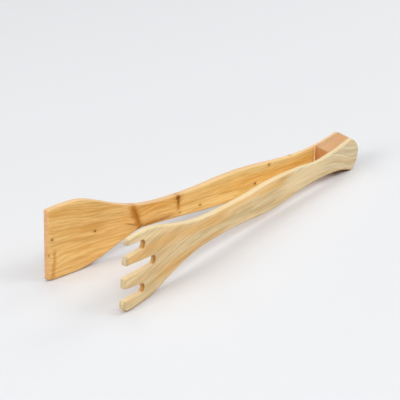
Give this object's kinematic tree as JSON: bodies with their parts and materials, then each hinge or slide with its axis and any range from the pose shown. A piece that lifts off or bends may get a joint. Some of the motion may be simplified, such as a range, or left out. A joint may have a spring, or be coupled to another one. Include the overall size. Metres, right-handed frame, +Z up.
{
  "type": "serving tongs",
  "caption": "Wooden serving tongs: a broad spatula arm and a fork arm with round-ended slots, glued to a tapered wedge block, with thin necks that spring open.",
  "frame": {"origin": "on the floor under the centre of the whole tongs, which stand on edge on their heads and butt", "axes": "+X along the tongs from the tips to the butt, +Y to the spatula arm's side, +Z up"},
  "size_m": [0.3358, 0.0825, 0.0581],
  "materials": {
    "spatula_wood": "sanded, lightly oiled juniper, honey heartwood with small knots",
    "fork_wood": "sanded, lightly oiled juniper, pale sapwood with a warm heart streak",
    "block_wood": "sanded juniper, reddish heartwood",
    "glue": "hardened wood glue"
  },
  "bodies": {
    "butt": {"wedge_block": "block_wood", "spatula_glue_line": "glue", "fork_glue_line": "glue"},
    "spatula": {"spatula_arm": "spatula_wood"},
    "fork": {"fork_arm": "fork_wood"}
  },
  "joints": [
    {"name": "spatula_flex", "type": "hinge", "parent": "butt", "child": "spatula", "pos_m": [0.12448, 0.00732, 0.01775], "axis": [0.04, 0, 0.9992], "range_deg": [0, 7], "stiffness_Nm_per_rad": 9},
    {"name": "fork_flex", "type": "hinge", "parent": "butt", "child": "fork", "pos_m": [0.12448, -0.00732, 0.01775], "axis": [-0.04, 0, -0.9992], "range_deg": [0, 7], "stiffness_Nm_per_rad": 9}
  ]
}
